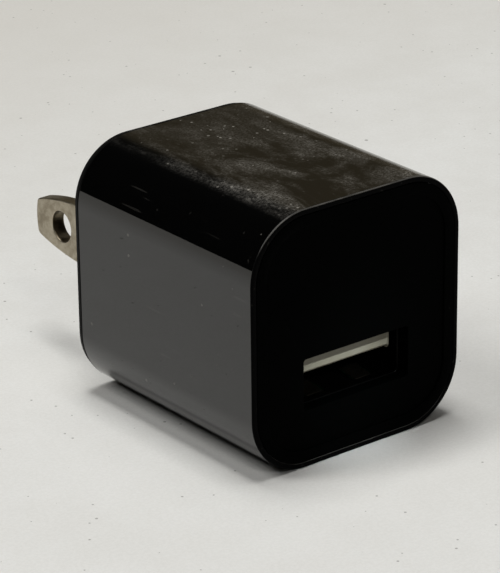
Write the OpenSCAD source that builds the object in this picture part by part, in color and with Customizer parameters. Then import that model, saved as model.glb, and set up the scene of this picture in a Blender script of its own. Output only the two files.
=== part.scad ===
/* [Body] */
// Width of the body, left to right
body_w = 25.2; // [25:0.1:27]
// Height of the body
body_h = 26.0; // [25.8:0.1:28]
// Depth of the body from its USB face to its plug face
body_d = 27.8; // [27.6:0.1:30]
// Radius of the body's four long corners
corner_r = 6.4; // [5.6:0.1:6.6]
// Thickness of the sleeve's wall
wall = 1.8; // [1.6:0.1:1.9]
// Rounding of the sleeve's front and rear edges
edge_r = 0.2; // [0.2:0.05:0.45]

/* [Caps] */
// Thickness of the sleeve's lip around the front cap
lip = 0.55; // [0.5:0.05:0.7]
// Thickness of the front cap at its rim
cap_t = 1.5; // [1.2:0.1:1.8]
// Distance from the body's side to the inside of the front cap's rim
rim_w = 1.8; // [1.4:0.1:2.4]
// How far the panel lies behind the rim
panel_recess = 0.15; // [0.1:0.05:0.4]
// Thickness of the rear cap's edge that shows behind the sleeve
flange_t = 0.5; // [0.4:0.1:0.8]
// Thickness of the rear cap inside the sleeve
plug_t = 1.2; // [1:0.1:1.4]

/* [Plug blades] */
// Distance between the middles of the two blades
blade_spacing = 12.7; // [12.6:0.1:12.8]
// Width of a blade at its root
blade_w = 6.35; // [6.1:0.05:6.6]
// Thickness of a blade
blade_t = 1.5; // [1.4:0.05:1.6]
// How far the blades stand out of the plug face
blade_l = 14.6; // [14:0.1:17]
// Width of a blade at its tip
blade_tip_w = 3.6; // [3.2:0.1:4.2]
// Diameter of the hole in a blade
blade_hole_d = 3.2; // [3:0.1:3.4]
// Distance from the plug face to the middle of the hole
blade_hole_y = 10.2; // [9.8:0.1:11.9]

/* [USB socket] */
// Width of the opening in the front cap
port_w = 12.8; // [12.7:0.1:13.1]
// Height of the opening in the front cap
port_h = 5.2; // [5.2:0.1:5.5]
// Height of the socket's middle from the body's middle
socket_z = -4.65; // [-4.75:0.05:-4.55]
// Distance from the USB face to the front of the tongue
tongue_recess = 2.2; // [2:0.1:2.6]
// Width of the tongue
tongue_w = 11.1; // [10.9:0.1:11.3]
// Thickness of the tongue
tongue_t = 1.84; // [1.74:0.02:1.9]

/* [Hidden] */
$fn = 64;
// Clearance between fitted pieces, on each side
gap = 0.05;
// How far a cutting shape runs past the surface it opens
over = 1;
// How far joined shapes run into each other
join = 0.1;
front_y = -body_d;
sleeve_d = body_d - flange_t;
cavity_w = body_w - 2 * wall;
cavity_h = body_h - 2 * wall;
cavity_r = corner_r - wall;
cavity_rear = -flange_t - plug_t;

// Front cap's skirt, which plugs into the sleeve
skirt_l = 2;
skirt_t = 1;
port_corner_r = 0.3;
// How far the rear cap's edge lies inside the body's outline
flange_inset = 0.15;

// Blade roots: a shoulder behind the rear cap and a tab for the mains spring
shoulder_w = 7.8;
shoulder_l = 1.2;
tab_w = 4;
tab_end = -5.2;
taper_start = 6;
tip_arc_r = 8;
taper_drop = (blade_w - blade_tip_w) / 2;
taper_run = blade_l - taper_start;
taper_r = (taper_run * taper_run + taper_drop * taper_drop) / (2 * taper_drop);
blade_x = blade_spacing / 2;

// Carrier that holds the shoulders, on two posts of the rear cap
carrier_w = 17;
carrier_h = 9;
carrier_l = 1.8;
carrier_corner_r = 1;
post_r = 0.8;
post_z = 3;
stake_r = 1.3;
stake_l = 0.4;

// Mains springs: bowed strips from the power board down to the blades' tabs
spring_t = 0.3;
spring_l = 1.5;
spring_front = tab_end + 0.1;
spring_pad_z = 0.3;
spring_bow = 0.9;
spring_bow_z = 3.4;
spring_foot = 0.6;
spring_foot_z = -1.8;
spring_slot_play = 0.15;

// USB shell, folded from sheet
sheet = 0.3;
shell_w = 13.1;
shell_h = 5.72;
shell_l = 14;
shell_r = 0.6;
shell_front = front_y + cap_t + 0.1;
shell_rear = shell_front + shell_l;
shell_leg_l = 1.6;
shell_leg_w = 1.6;
shell_leg_root = 0.8;
shell_leg_ys = [shell_front + 5, shell_rear - 2.5];
tail_gap_w = 9.6;
tail_gap_edge = 0.6;

// Grip fingers in the shell's floor and roof
finger_x = 3;
finger_w = 2;
finger_t = 0.24;
finger_root = shell_front + 1.2;
finger_l = 6.4;
finger_rise = 0.55;
finger_tip_rise = 0.45;
finger_ramp_share = 0.55;
finger_crest_share = 0.75;
finger_window_w = 2.6;
finger_window_end = finger_root + finger_l + 0.4;
finger_bead_r = 0.14;
finger_mid = (shell_h - sheet) / 2;

// Tongue and rear block inside the shell
block_w = shell_w - 2 * sheet - 2 * gap;
block_h = shell_h - 2 * sheet - 2 * gap;
block_l = 3.6;
block_front = shell_rear - sheet - gap - block_l;
block_r = 0.25;
tongue_front = front_y + tongue_recess;
tongue_bottom = socket_z + 0.02;
tongue_chamfer = 0.25;
groove_w = 1.4;
groove_depth = 1.1;
groove_nose = 0.6;

// Contact springs: where they pivot, and their path as [distance forward of the pivot, height]
contact_xs = [-3.5, -1, 1, 3.5];
contact_w = 1;
contact_t = 0.2;
contact_bead_r = 0.2;
contact_pivot_y = block_front + 0.6;
contact_pivot_z = tongue_bottom + 0.45;
contact_path = [[0, 0], [2.4, -0.15], [5.2, -0.72], [6, -0.8], [6.8, -0.72], [8.7, -0.2]];
tail_w = 0.7;
tail_t = 0.3;
tail_front = contact_pivot_y + contact_bead_r + 0.1;
tail_y = shell_rear - 1;

// Insulation sheet: its distances above and behind the shell and above the board
sheet_t = 0.2;
sheet_w = 14;
sheet_above = 0.45;
sheet_behind = 0.1;
sheet_foot = 0.2;

// Boards
board_t = 1;
board_w = 19.8;
board_front = front_y + cap_t + skirt_l + 0.2;
board_rear = -2.3;
usb_board_top = socket_z - shell_h / 2;
power_board_bottom = -usb_board_top;
rail_l = 8;
rail_h = 0.55;
rail_x = 9.2;
rail_root = 0.3;
rail_depth = cavity_w / 2 + rail_root - rail_x;
lead_d = 0.6;
lead_stub = 0.7;
hole_gap = 0.1;

// Transformer, its winding wound round the Y axis
core_w = 9.6;
core_t = 3.8;
core_half_l = 5;
core_back_t = 1.3;
core_side_t = 1.2;
core_leg_w = 2.4;
core_window_w = core_w / 2 - core_side_t - core_leg_w / 2;
core_window_l = core_half_l - core_back_t;
core_joint = 0.02;
core_y = board_front + 0.9 + core_half_l;
core_z = 3.2;
bobbin_t = 0.4;
bobbin_l = 2 * core_window_l - 0.2;
bobbin_flange_t = 0.6;
bobbin_flange_w = core_w - 2 * core_side_t - 0.2;
bobbin_flange_h = 8.2;
winding_l = bobbin_l - 2 * bobbin_flange_t - 0.2;
winding_gap = 0.02;
winding_out = 1.7;
primary_t = 0.8;
tape_t = 0.12;
tape_inset = 0.4;
transformer_pin_pitch = 2.5;
transformer_pin_y = (bobbin_l - bobbin_flange_t) / 2;

// Parts on the power board
input_can_d = 5;
input_can_l = 11;
input_can_x = 7.9;
input_can_z = power_board_bottom - input_can_d / 2 - 0.1;
input_can_rear = board_front + 0.6 + input_can_l;
input_lead_x = 1;
input_lead_run = 1;
resistor_d = 2.4;
resistor_l = 6.5;
resistor_y = -4.2;
resistor_z = power_board_bottom - resistor_d / 2 - 0.3;
resistor_lead_x = resistor_l / 2 + 0.7;
choke = [0.3, -8.4];
choke_d = 4.2;
choke_h = 5;
choke_top = power_board_bottom - 0.2;
choke_flange_t = 0.8;
choke_core_d = 2;
choke_lead_y = 1.2;
choke_winding_t = 0.85;
transistor = [5, -9.2];
transistor_w = 4.6;
transistor_t = 3.6;
transistor_h = 4.6;
transistor_round = 1.3;
transistor_top = power_board_bottom - 1;
transistor_pitch = 1.27;
rectifier = [-4, -8.2];
rectifier_size = [4.6, 3.8, 2];
rectifier_foot = [0.7, 1.2, 0.4];
rectifier_foot_at = [1.3, 2.3];
controller = [0, core_y];
controller_size = [4.9, 3.8, 1.4];
controller_foot = [0.42, 1.1, 0.3];
controller_foot_y = 2.4;
controller_pitch = 1.27;
chip_lift = 0.15;
chip_capacitor_size = [1.2, 2, 0.9];
chip_capacitor_xs = [-7, 5, 7];
chip_capacitor_ys = [-20, -17];

// Parts on the USB board
output_can = [-5.2, -8.6];
output_can_d = 6.3;
output_can_h = 10.5;
output_can_lift = 0.2;
output_lead_x = 1.25;
diode = [0, -4.2];
diode_size = [4.3, 2.6, 2];
diode_foot = [1, 1.4, 0.5];
diode_foot_x = 2.3;
disc = [3.8, -8.5];
disc_d = 6;
disc_t = 2.6;
disc_lift = 0.4;
disc_lead_x = 2;
chip_resistor_size = [1.6, 0.8, 0.5];
chip_resistor_x = 8;
chip_resistor_ys = [-23, -21, -19, -17];
link_x = 8.2;
link_pitch = 2;
link_ys = [for (i = [0:3]) -11.5 + i * link_pitch];
link_pin_t = 0.6;
spacer_w = 1.9;
spacer_end = 1;
spacer_h = 2;

// ---- Shapes that repeat ----

// Extrudes a flat shape drawn in X and Z along +Y
module along_y(from, length) {
  translate([0, from + length, 0])
    rotate([90, 0, 0])
      linear_extrude(length)
        children();
}

// Extrudes a flat shape drawn in Y and Z along +X
module along_x(from, length) {
  translate([from, 0, 0])
    rotate([90, 0, 90])
      linear_extrude(length)
        children();
}

module rounded_rect(w, h, r) {
  square([w - 2 * r, h], center = true);
  square([w, h - 2 * r], center = true);
  for (x = [-1, 1], y = [-1, 1])
    translate([x * (w / 2 - r), y * (h / 2 - r)])
      circle(r);
}

// The body's outline, drawn in by some distance on every side
module body_outline(inset) {
  rounded_rect(body_w - 2 * inset, body_h - 2 * inset, corner_r - inset);
}

module cavity_outline(inset) {
  rounded_rect(cavity_w - 2 * inset, cavity_h - 2 * inset, cavity_r - inset);
}

// A box from its low corner in X, Y and Z
module block(low, high) {
  translate(low)
    cube(high - low);
}

// A box centred in X and Y on a place, from one height to another
module chip(place, size, from_z) {
  translate([place.x, place.y, from_z + size.z / 2])
    cube(size, center = true);
}

// A round lead between two heights
module lead(place, low_z, high_z, extra) {
  translate([place.x, place.y, low_z])
    cylinder(h = high_z - low_z, d = lead_d + 2 * extra);
}

// A strip of even thickness whose middle follows [y, z] points
module strip(points, thickness) {
  upper = [for (p = points) [p.x, p.y + thickness / 2]];
  lower = [for (i = [len(points) - 1:-1:0]) [points[i].x, points[i].y - thickness / 2]];
  polygon(concat(upper, lower));
}

// ---- Casing ----

// The sleeve's wall in section, seen from its corner's centre: X outwards, Y from front to rear
module wall_section() {
  difference() {
    union() {
      translate([cavity_r, edge_r])
        square([wall, sleeve_d - 2 * edge_r]);
      translate([cavity_r, 0])
        square([wall - edge_r, sleeve_d]);
      for (y = [edge_r, sleeve_d - edge_r])
        translate([corner_r - edge_r, y])
          circle(edge_r);
    }
    translate([cavity_r - over, -over])
      square([wall - lip + over, cap_t + over]);
  }
}

// One flat side of the sleeve, at a distance from the middle and of a width
module wall_side(from_middle, width) {
  translate([from_middle, front_y, -width / 2])
    linear_extrude(width)
      wall_section();
}

module rails() {
  for (s = [-1, 1], t = [-1, 1], below = [0, 1])
    translate([
      s * (rail_x + rail_depth / 2),
      board_rear - rail_l / 2,
      t * (power_board_bottom - gap - rail_h / 2 + below * (board_t + 2 * gap + rail_h))
    ])
      cube([rail_depth, rail_l, rail_h], center = true);
}

module sleeve() {
  side_x = body_w / 2 - corner_r;
  side_z = body_h / 2 - corner_r;
  color([0.05, 0.05, 0.055])
    union() {
      for (s = [-1, 1]) {
        scale([s, 1, 1])
          wall_side(side_x, 2 * side_z);
        rotate([0, s * 90, 0])
          wall_side(side_z, 2 * side_x);
        for (t = [-1, 1])
          translate([s * side_x, front_y, t * side_z])
            scale([s, 1, -t])
              rotate([-90, 0, 0])
                rotate_extrude(angle = 90)
                  wall_section();
      }
      rails();
    }
}

module front_cap() {
  color([0.02, 0.02, 0.02])
    difference() {
      union() {
        along_y(front_y, cap_t - gap)
          body_outline(lip + gap);
        along_y(front_y + cap_t / 2, cap_t / 2 + skirt_l)
          cavity_outline(gap);
      }
      along_y(front_y + cap_t, skirt_l + over)
        cavity_outline(skirt_t);
      along_y(front_y - over, over + panel_recess)
        body_outline(rim_w);
      along_y(front_y - over, cap_t + 2 * over)
        translate([0, socket_z])
          rounded_rect(port_w, port_h, port_corner_r);
    }
}

module rear_cap() {
  color([0.06, 0.06, 0.06])
    union() {
      difference() {
        union() {
          along_y(-flange_t + gap, flange_t - gap)
            body_outline(flange_inset);
          along_y(cavity_rear, plug_t + 2 * gap)
            cavity_outline(gap);
        }
        for (s = [-1, 1])
          along_y(cavity_rear - over, flange_t + plug_t + 2 * over)
            translate([s * blade_x, 0])
              square([blade_t + 2 * gap, blade_w + 2 * gap], center = true);
      }
      for (s = [-1, 1])
        translate([0, cavity_rear + join, s * post_z])
          rotate([90, 0, 0])
            cylinder(h = join + carrier_l + stake_l / 2, r = post_r);
      for (s = [-1, 1])
        translate([0, cavity_rear - carrier_l - gap, s * post_z])
          rotate([90, 0, 0])
            cylinder(h = stake_l, r = stake_r);
    }
}

// ---- Blades and their contacts ----

// Outline of a blade in Y and Z: two long arcs narrow it towards a slightly domed tip
module blade_outline() {
  intersection() {
    translate([cavity_rear - join, -blade_w / 2])
      square([blade_l - cavity_rear + join, blade_w]);
    union() {
      intersection_for(s = [-1, 1])
        translate([taper_start, s * (taper_r - blade_w / 2)])
          circle(taper_r, $fn = 256);
      translate([cavity_rear - join, -blade_w / 2])
        square([taper_start - cavity_rear + join, blade_w]);
    }
    translate([blade_l - tip_arc_r, 0])
      union() {
        circle(tip_arc_r, $fn = 128);
        translate([-blade_l - tip_arc_r, -blade_w])
          square([blade_l + tip_arc_r, 2 * blade_w]);
      }
  }
  translate([cavity_rear - shoulder_l, -shoulder_w / 2])
    square([shoulder_l, shoulder_w]);
  translate([tab_end, -tab_w / 2])
    square([cavity_rear - tab_end, tab_w]);
}

module blade(side) {
  color([0.62, 0.58, 0.5])
    difference() {
      along_x(side * blade_x - blade_t / 2, blade_t)
        blade_outline();
      translate([side * blade_x - blade_t, blade_hole_y, 0])
        rotate([0, 90, 0])
          cylinder(h = 2 * blade_t, d = blade_hole_d);
    }
}

module left_blade() blade(-1);

module right_blade() blade(1);

module blade_carrier() {
  color([0.16, 0.16, 0.17])
    difference() {
      along_y(cavity_rear - carrier_l, carrier_l - gap)
        rounded_rect(carrier_w, carrier_h, carrier_corner_r);
      for (s = [-1, 1]) {
        along_y(cavity_rear - shoulder_l - gap, shoulder_l + over)
          translate([s * blade_x, 0])
            square([blade_t + 2 * gap, shoulder_w + 2 * gap], center = true);
        along_y(cavity_rear - carrier_l - over, carrier_l + 2 * over)
          translate([s * blade_x, 0])
            square([blade_t + 2 * gap, tab_w + 2 * gap], center = true);
        translate([0, cavity_rear + over, s * post_z])
          rotate([90, 0, 0])
            cylinder(h = carrier_l + 2 * over, r = post_r + gap);
      }
    }
}

// A flat spring that hangs from the power board and presses on a blade's tab
module mains_spring(side) {
  inner = side * (blade_x - blade_t / 2);
  outer = inner - side * spring_t;
  top = power_board_bottom + board_t + lead_stub;
  bend = power_board_bottom - 1;
  color([0.78, 0.62, 0.36])
    along_y(spring_front, spring_l)
      polygon([
        [outer, top],
        [outer, bend],
        [outer - side * spring_bow, spring_bow_z],
        [outer, spring_pad_z],
        [outer, -spring_pad_z],
        [outer - side * spring_foot, spring_foot_z],
        [inner - side * spring_foot, spring_foot_z],
        [inner, -spring_pad_z],
        [inner, spring_pad_z],
        [inner - side * spring_bow, spring_bow_z],
        [inner, bend],
        [inner, top]
      ]);
}

module left_mains_spring() mains_spring(-1);

module right_mains_spring() mains_spring(1);

// ---- USB socket ----

module shell_legs(extra) {
  for (s = [-1, 1], y = shell_leg_ys)
    translate([s * (shell_w - sheet) / 2, y, usb_board_top - shell_leg_l])
      linear_extrude(shell_leg_l + shell_leg_root)
        square([sheet + 2 * extra, shell_leg_w + 2 * extra], center = true);
}

module usb_shell() {
  color([0.6, 0.6, 0.62])
    difference() {
      union() {
        along_y(shell_front, shell_l)
          translate([0, socket_z])
            rounded_rect(shell_w, shell_h, shell_r);
        shell_legs(0);
      }
      along_y(shell_front - over, shell_l - sheet + over)
        translate([0, socket_z])
          rounded_rect(shell_w - 2 * sheet, shell_h - 2 * sheet, shell_r - sheet);
      for (s = [-1, 1])
        block(
          [s * finger_x - finger_window_w / 2, finger_root - finger_bead_r - gap, socket_z - shell_h],
          [s * finger_x + finger_window_w / 2, finger_window_end, socket_z + shell_h]
        );
      block(
        [-tail_gap_w / 2, tail_y - tail_gap_edge, socket_z - shell_h],
        [tail_gap_w / 2, shell_rear + over, socket_z - tail_gap_edge]
      );
    }
}

// Two springy fingers, drawn for the shell's floor (side -1) or its roof (side 1)
module grip_fingers(side) {
  height = function(rise) socket_z + side * (finger_mid - rise);
  color([0.72, 0.66, 0.5])
    for (s = [-1, 1])
      translate([s * finger_x, 0, 0]) {
        along_x(-finger_w / 2, finger_w)
          strip([
            [finger_root, height(0)],
            [finger_root + finger_ramp_share * finger_l, height(finger_rise)],
            [finger_root + finger_crest_share * finger_l, height(finger_rise)],
            [finger_root + finger_l, height(finger_tip_rise)]
          ], finger_t);
        translate([-finger_w / 2, finger_root, height(0)])
          rotate([0, 90, 0])
            cylinder(h = finger_w, r = finger_bead_r);
      }
}

module lower_grip_fingers() grip_fingers(-1);

module upper_grip_fingers() grip_fingers(1);

module tails(extra) {
  for (x = contact_xs) {
    block(
      [x - tail_w / 2 - extra, tail_front - extra, contact_pivot_z - tail_t / 2 - extra],
      [x + tail_w / 2 + extra, tail_y + tail_t / 2 + extra, contact_pivot_z + tail_t / 2 + extra]
    );
    block(
      [x - tail_w / 2 - extra, tail_y - tail_t / 2 - extra, usb_board_top - board_t - lead_stub],
      [x + tail_w / 2 + extra, tail_y + tail_t / 2 + extra, contact_pivot_z + tail_t / 2 + extra]
    );
  }
}

module usb_contact_tails() {
  color([0.82, 0.7, 0.4])
    tails(0);
}

module usb_insulator() {
  tongue_top = tongue_bottom + tongue_t;
  color([0.9, 0.9, 0.88])
    difference() {
      union() {
        along_x(-tongue_w / 2, tongue_w)
          polygon([
            [block_front + join, tongue_bottom],
            [tongue_front + tongue_chamfer, tongue_bottom],
            [tongue_front, tongue_bottom + tongue_chamfer],
            [tongue_front, tongue_top - tongue_chamfer],
            [tongue_front + tongue_chamfer, tongue_top],
            [block_front + join, tongue_top]
          ]);
        along_y(block_front, block_l)
          translate([0, socket_z])
            rounded_rect(block_w, block_h, block_r);
      }
      for (x = contact_xs)
        block(
          [x - groove_w / 2, tongue_front + groove_nose, tongue_bottom - over],
          [x + groove_w / 2, tail_front - gap, tongue_bottom + groove_depth]
        );
      tails(gap);
    }
}

// One contact spring: a bead where it bends, and a leaf that bulges below the tongue
module contact(x) {
  color([0.86, 0.7, 0.32])
    union() {
      along_x(x - contact_w / 2, contact_w)
        strip([for (p = contact_path) [contact_pivot_y - p.x, contact_pivot_z + p.y]], contact_t);
      translate([x - contact_w / 2, contact_pivot_y, contact_pivot_z])
        rotate([0, 90, 0])
          cylinder(h = contact_w, r = contact_bead_r);
    }
}

module power_contact() contact(contact_xs[3]);

module data_minus_contact() contact(contact_xs[2]);

module data_plus_contact() contact(contact_xs[1]);

module ground_contact() contact(contact_xs[0]);

// ---- Boards ----

module board_plate(from_z) {
  block([-board_w / 2, board_front, from_z], [board_w / 2, board_rear, from_z + board_t]);
}

module usb_board() {
  color([0.1, 0.32, 0.2])
    difference() {
      board_plate(usb_board_top - board_t);
      shell_legs(hole_gap);
      tails(hole_gap);
      output_capacitor_leads(hole_gap);
      safety_capacitor_leads(hole_gap);
      link_pins(hole_gap);
    }
}

module power_board() {
  color([0.42, 0.33, 0.16])
    difference() {
      board_plate(power_board_bottom);
      transformer_pin_set(hole_gap);
      for (s = [-1, 1]) {
        input_capacitor_leads(s, hole_gap);
        translate([
          s * (blade_x - (blade_t + spring_t) / 2),
          spring_front + spring_l / 2,
          power_board_bottom - over
        ])
          linear_extrude(board_t + 2 * over)
            square([spring_t, spring_l] + 2 * spring_slot_play * [1, 1], center = true);
      }
      fusible_resistor_leads(hole_gap);
      choke_leads(hole_gap);
      transistor_leads(hole_gap);
      link_pins(hole_gap);
    }
}

module link_pins(extra) {
  for (y = link_ys)
    block(
      [link_x - link_pin_t / 2 - extra, y - link_pin_t / 2 - extra, usb_board_top - board_t - lead_stub],
      [link_x + link_pin_t / 2 + extra, y + link_pin_t / 2 + extra, power_board_bottom + board_t + lead_stub]
    );
}

module board_link_pins() {
  color([0.8, 0.78, 0.7])
    link_pins(0);
}

module board_link_spacer() {
  color([0.08, 0.08, 0.08])
    difference() {
      block(
        [link_x - spacer_w / 2, link_ys[0] - spacer_end, usb_board_top],
        [link_x + spacer_w / 2, link_ys[3] + spacer_end, usb_board_top + spacer_h]
      );
      link_pins(gap);
    }
}

// An L of thin sheet over and behind the USB socket
module insulation_sheet() {
  top_z = socket_z + shell_h / 2 + sheet_above;
  foot_z = usb_board_top + sheet_foot;
  leg_y = shell_rear + sheet_behind;
  color([0.85, 0.8, 0.55])
    along_x(-sheet_w / 2, sheet_w)
      polygon([
        [board_front, top_z],
        [board_front, top_z - sheet_t],
        [leg_y, top_z - sheet_t],
        [leg_y, foot_z],
        [leg_y + sheet_t, foot_z],
        [leg_y + sheet_t, top_z]
      ]);
}

// ---- Transformer ----

// One E half, its back on the side given and its legs meeting at core_y
module core_half(side) {
  color([0.22, 0.22, 0.23])
    translate([0, core_y, core_z])
      scale([1, side, 1])
        translate([0, 0, -core_t / 2])
          linear_extrude(core_t)
            difference() {
              translate([-core_w / 2, core_joint])
                square([core_w, core_half_l - core_joint]);
              for (s = [-1, 1])
                translate([s * (core_leg_w + core_window_w) / 2, core_window_l / 2])
                  square([core_window_w, core_window_l], center = true);
            }
}

module transformer_core_front() core_half(-1);

module transformer_core_rear() core_half(1);

// A rectangular ring round the core's middle leg
module leg_ring(length, from_t, to_t) {
  along_y(core_y - length / 2, length)
    translate([0, core_z])
      difference() {
        square([core_leg_w + 2 * to_t, core_t + 2 * to_t], center = true);
        square([core_leg_w + 2 * from_t, core_t + 2 * from_t], center = true);
      }
}

module transformer_bobbin() {
  color([0.12, 0.1, 0.1])
    union() {
      leg_ring(bobbin_l, gap, bobbin_t);
      for (s = [-1, 1])
        along_y(core_y + (s * (bobbin_l - bobbin_flange_t) - bobbin_flange_t) / 2, bobbin_flange_t)
          translate([0, core_z])
            difference() {
              square([bobbin_flange_w, bobbin_flange_h], center = true);
              square([core_leg_w + 2 * gap, core_t + 2 * gap], center = true);
            }
    }
}

module transformer_primary() {
  color([0.72, 0.4, 0.2])
    leg_ring(winding_l, bobbin_t + winding_gap, bobbin_t + primary_t);
}

module transformer_secondary() {
  color([0.85, 0.72, 0.2])
    leg_ring(winding_l, bobbin_t + primary_t + winding_gap, bobbin_t + winding_out);
}

module transformer_pin_set(extra) {
  for (s = [-1, 1], t = [-1, 0, 1])
    lead(
      [t * transformer_pin_pitch, core_y + s * transformer_pin_y],
      core_z + bobbin_flange_h / 2,
      power_board_bottom + board_t + lead_stub,
      extra
    );
}

module transformer_pins() {
  color([0.8, 0.78, 0.72])
    transformer_pin_set(0);
}

module transformer_tape() {
  core_size = [core_w, 2 * core_half_l];
  color([0.9, 0.75, 0.15])
    translate([0, core_y, core_z - core_t / 2 + tape_inset])
      linear_extrude(core_t - 2 * tape_inset)
        difference() {
          square(core_size + 2 * (winding_gap + tape_t) * [1, 1], center = true);
          square(core_size + 2 * winding_gap * [1, 1], center = true);
        }
}

// ---- Parts on the power board ----

module input_capacitor_leads(side, extra) {
  for (s = [-1, 1])
    lead(
      [side * input_can_x + s * input_lead_x, input_can_rear + input_lead_run],
      input_can_z,
      power_board_bottom + board_t + lead_stub,
      extra
    );
}

module input_capacitor(side) {
  color([0.1, 0.12, 0.3])
    union() {
      translate([side * input_can_x, input_can_rear, input_can_z])
        rotate([90, 0, 0])
          cylinder(h = input_can_l, d = input_can_d);
      for (s = [-1, 1])
        translate([side * input_can_x + s * input_lead_x, input_can_rear + input_lead_run, input_can_z]) {
          rotate([90, 0, 0])
            cylinder(h = input_lead_run + join, d = lead_d);
          sphere(d = lead_d);
        }
      input_capacitor_leads(side, 0);
    }
}

module left_input_capacitor() input_capacitor(-1);

module right_input_capacitor() input_capacitor(1);

module fusible_resistor_leads(extra) {
  for (s = [-1, 1])
    lead(
      [s * resistor_lead_x, resistor_y],
      resistor_z,
      power_board_bottom + board_t + lead_stub,
      extra
    );
}

module fusible_resistor() {
  color([0.25, 0.45, 0.3])
    union() {
      translate([-resistor_l / 2, resistor_y, resistor_z])
        rotate([0, 90, 0])
          cylinder(h = resistor_l, d = resistor_d);
      translate([-resistor_lead_x, resistor_y, resistor_z])
        rotate([0, 90, 0])
          cylinder(h = 2 * resistor_lead_x, d = lead_d);
      for (s = [-1, 1])
        translate([s * resistor_lead_x, resistor_y, resistor_z])
          sphere(d = lead_d);
      fusible_resistor_leads(0);
    }
}

module choke_leads(extra) {
  for (s = [-1, 1])
    lead(
      [choke.x, choke.y + s * choke_lead_y],
      choke_top - choke_flange_t / 2,
      power_board_bottom + board_t + lead_stub,
      extra
    );
}

module choke_core() {
  color([0.2, 0.2, 0.2])
    union() {
      for (z = [choke_top - choke_h, choke_top - choke_flange_t])
        translate([choke.x, choke.y, z])
          cylinder(h = choke_flange_t, d = choke_d);
      translate([choke.x, choke.y, choke_top - choke_h])
        cylinder(h = choke_h, d = choke_core_d);
      choke_leads(0);
    }
}

module choke_winding() {
  color([0.72, 0.38, 0.2])
    translate([choke.x, choke.y, choke_top - choke_h + choke_flange_t + gap])
      rotate_extrude()
        translate([choke_core_d / 2 + gap, 0])
          square([choke_winding_t, choke_h - 2 * (choke_flange_t + gap)]);
}

module transistor_leads(extra) {
  for (s = [-1, 0, 1])
    lead(
      [transistor.x + s * transistor_pitch, transistor.y],
      transistor_top - 4 * join,
      power_board_bottom + board_t + lead_stub,
      extra
    );
}

// A half-round moulded body on three leads
module switching_transistor() {
  color([0.08, 0.08, 0.08])
    union() {
      translate([transistor.x, transistor.y, transistor_top - transistor_h])
        linear_extrude(transistor_h)
          intersection() {
            circle(d = transistor_w);
            translate([-transistor_w, transistor_round - transistor_t])
              square([2 * transistor_w, transistor_t]);
          }
      transistor_leads(0);
    }
}

module bridge_rectifier() {
  color([0.1, 0.1, 0.1])
    union() {
      chip(rectifier, rectifier_size, power_board_bottom + board_t + chip_lift);
      for (s = [-1, 1], t = [-1, 1])
        chip(
          rectifier + [s * rectifier_foot_at.x, t * rectifier_foot_at.y],
          rectifier_foot,
          power_board_bottom + board_t
        );
    }
}

module controller_chip() {
  color([0.1, 0.1, 0.11])
    union() {
      chip(controller, controller_size, power_board_bottom + board_t + chip_lift);
      for (s = [-1, 1], t = [-1.5, -0.5, 0.5, 1.5])
        chip(
          controller + [t * controller_pitch, s * controller_foot_y],
          controller_foot,
          power_board_bottom + board_t
        );
    }
}

// ---- Parts on the USB board ----

module output_capacitor_leads(extra) {
  for (s = [-1, 1])
    lead(
      [output_can.x + s * output_lead_x, output_can.y],
      usb_board_top - board_t - lead_stub,
      usb_board_top + output_can_lift + join,
      extra
    );
}

module output_capacitor() {
  color([0.12, 0.14, 0.16])
    union() {
      translate([output_can.x, output_can.y, usb_board_top + output_can_lift])
        cylinder(h = output_can_h, d = output_can_d);
      output_capacitor_leads(0);
    }
}

module safety_capacitor_leads(extra) {
  for (s = [-1, 1])
    lead(
      [disc.x + s * disc_lead_x, disc.y],
      usb_board_top - board_t - lead_stub,
      usb_board_top + disc_lift + disc_d / 2,
      extra
    );
}

module safety_capacitor() {
  color([0.15, 0.35, 0.65])
    union() {
      translate([disc.x, disc.y + disc_t / 2, usb_board_top + disc_lift + disc_d / 2])
        rotate([90, 0, 0])
          cylinder(h = disc_t, d = disc_d);
      safety_capacitor_leads(0);
    }
}

module output_diode() {
  color([0.1, 0.1, 0.1])
    union() {
      chip(diode, diode_size, usb_board_top + chip_lift);
      for (s = [-1, 1])
        chip(diode + [s * diode_foot_x, 0], diode_foot, usb_board_top);
    }
}

// ---- Small surface-mount parts ----

module chip_resistors() {
  color([0.06, 0.06, 0.07])
    for (s = [-1, 1], y = chip_resistor_ys)
      chip([s * chip_resistor_x, y], chip_resistor_size, usb_board_top);
}

module chip_capacitors() {
  color([0.62, 0.5, 0.35])
    for (x = chip_capacitor_xs, y = chip_capacitor_ys)
      chip([x, y], chip_capacitor_size, power_board_bottom + board_t);
}

// ---- The pieces ----

sleeve();
front_cap();
rear_cap();
left_blade();
right_blade();
blade_carrier();
left_mains_spring();
right_mains_spring();
usb_shell();
usb_insulator();
usb_contact_tails();
power_contact();
data_minus_contact();
data_plus_contact();
ground_contact();
lower_grip_fingers();
upper_grip_fingers();
usb_board();
power_board();
board_link_pins();
board_link_spacer();
insulation_sheet();
transformer_core_front();
transformer_core_rear();
transformer_bobbin();
transformer_primary();
transformer_secondary();
transformer_pins();
transformer_tape();
left_input_capacitor();
right_input_capacitor();
output_capacitor();
fusible_resistor();
choke_core();
choke_winding();
bridge_rectifier();
switching_transistor();
controller_chip();
safety_capacitor();
output_diode();
chip_resistors();
chip_capacitors();
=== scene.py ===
"""A small black USB wall charger: a glossy sleeve, a matte USB face and two plug blades.

Sizes are in millimetres unless a name says otherwise, and points reach Blender in metres.
X is the width, +Y points out of the plug face and Z is up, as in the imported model.
"""
import math

import bmesh
import bpy
from mathutils import Matrix, Vector
from mathutils.geometry import tessellate_polygon


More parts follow.
